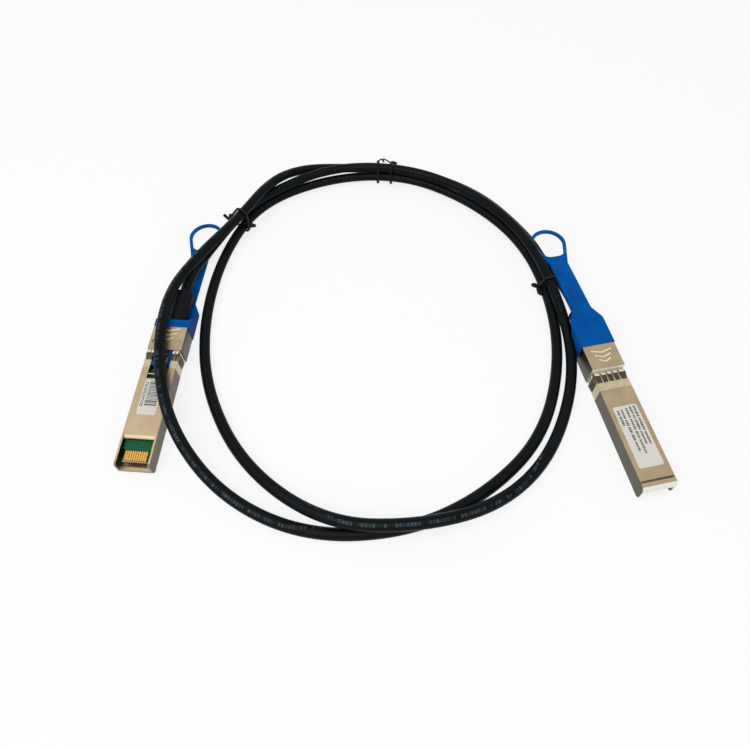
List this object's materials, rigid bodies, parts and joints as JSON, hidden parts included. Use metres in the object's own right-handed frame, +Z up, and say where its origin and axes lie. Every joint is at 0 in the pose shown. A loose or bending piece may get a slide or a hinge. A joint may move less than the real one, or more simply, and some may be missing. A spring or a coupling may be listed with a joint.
{
  "type": "direct attach copper cable",
  "caption": "Copper network cable with a metal plug-in module and blue pull tab at each end, coiled and held by twist ties.",
  "frame": {"origin": "middle of the base of the two plugs, on the table", "axes": "+X across the coil from the left plug to the right plug, +Y away from the plugs' noses, +Z up from the table"},
  "size_m": [0.2053, 0.19, 0.0166],
  "materials": {
    "shell_metal": "nickel-plated casting, satin",
    "collar_metal": "thin bright spring sheet",
    "circuit_board": "green lacquered board",
    "gold_contact": "gold-plated",
    "chip_plastic": "black moulded package",
    "latch_metal": "satin spring steel",
    "tab_plastic": "blue moulded plastic, soft sheen",
    "crimp_metal": "bright crimp",
    "boot_rubber": "black moulded rubber",
    "wire_insulation": "white insulation",
    "label_paper": "matt white label with plain bars",
    "cable_plastic": "black jacket, soft sheen",
    "tie_plastic": "black coated wire"
  },
  "bodies": {
    "cable_assembly": {"left_top_shell": "shell_metal", "left_bottom_shell": "shell_metal", "left_emi_collar": "collar_metal", "left_paddle_card": "circuit_board", "left_contact_pads": "gold_contact", "left_memory_chip": "chip_plastic", "left_latch_pin": "latch_metal", "left_latch_spring": "latch_metal", "left_crimp_sleeve": "crimp_metal", "left_strain_boot": "boot_rubber", "left_wire_pairs": "wire_insulation", "left_top_label": "label_paper", "left_bottom_label": "label_paper", "right_top_shell": "shell_metal", "right_bottom_shell": "shell_metal", "right_emi_collar": "collar_metal", "right_paddle_card": "circuit_board", "right_contact_pads": "gold_contact", "right_memory_chip": "chip_plastic", "right_latch_pin": "latch_metal", "right_latch_spring": "latch_metal", "right_crimp_sleeve": "crimp_metal", "right_strain_boot": "boot_rubber", "right_wire_pairs": "wire_insulation", "right_top_label": "label_paper", "right_bottom_label": "label_paper", "cable_jacket": "cable_plastic", "left_tie": "tie_plastic", "top_tie": "tie_plastic", "right_tie": "tie_plastic"},
    "left_tab": {"left_pull_tab": "tab_plastic"},
    "left_latch": {"left_latch_lever": "latch_metal"},
    "right_tab": {"right_pull_tab": "tab_plastic"},
    "right_latch": {"right_latch_lever": "latch_metal"}
  },
  "joints": [
    {"name": "left_tab_slide", "type": "slide", "parent": "cable_assembly", "child": "left_tab", "axis": [0.0697, 0.9965, 0.0463], "range_m": [0, 0.002], "stiffness_N_per_m": 250},
    {"name": "left_latch_hinge", "type": "hinge", "parent": "cable_assembly", "child": "left_latch", "pos_m": [-0.09336, -0.02019, 0.00954], "axis": [-0.9976, 0.0698, 0], "range_deg": [0, 4.2], "deforming": ["left_latch_spring"]},
    {"name": "right_tab_slide", "type": "slide", "parent": "cable_assembly", "child": "right_tab", "axis": [-0.1942, 0.9809, 0.0104], "range_m": [0, 0.002], "stiffness_N_per_m": 250},
    {"name": "right_latch_hinge", "type": "hinge", "parent": "cable_assembly", "child": "right_latch", "pos_m": [0.08895, -0.02841, 0.00102], "axis": [0.981, 0.1942, 0], "range_deg": [0, 4.2], "deforming": ["right_latch_spring"]}
  ],
  "couplings": [
    {"joint": "left_latch_hinge", "follows": "left_tab_slide", "rad_per_m": 36.652},
    {"joint": "right_latch_hinge", "follows": "right_tab_slide", "rad_per_m": 36.652}
  ]
}
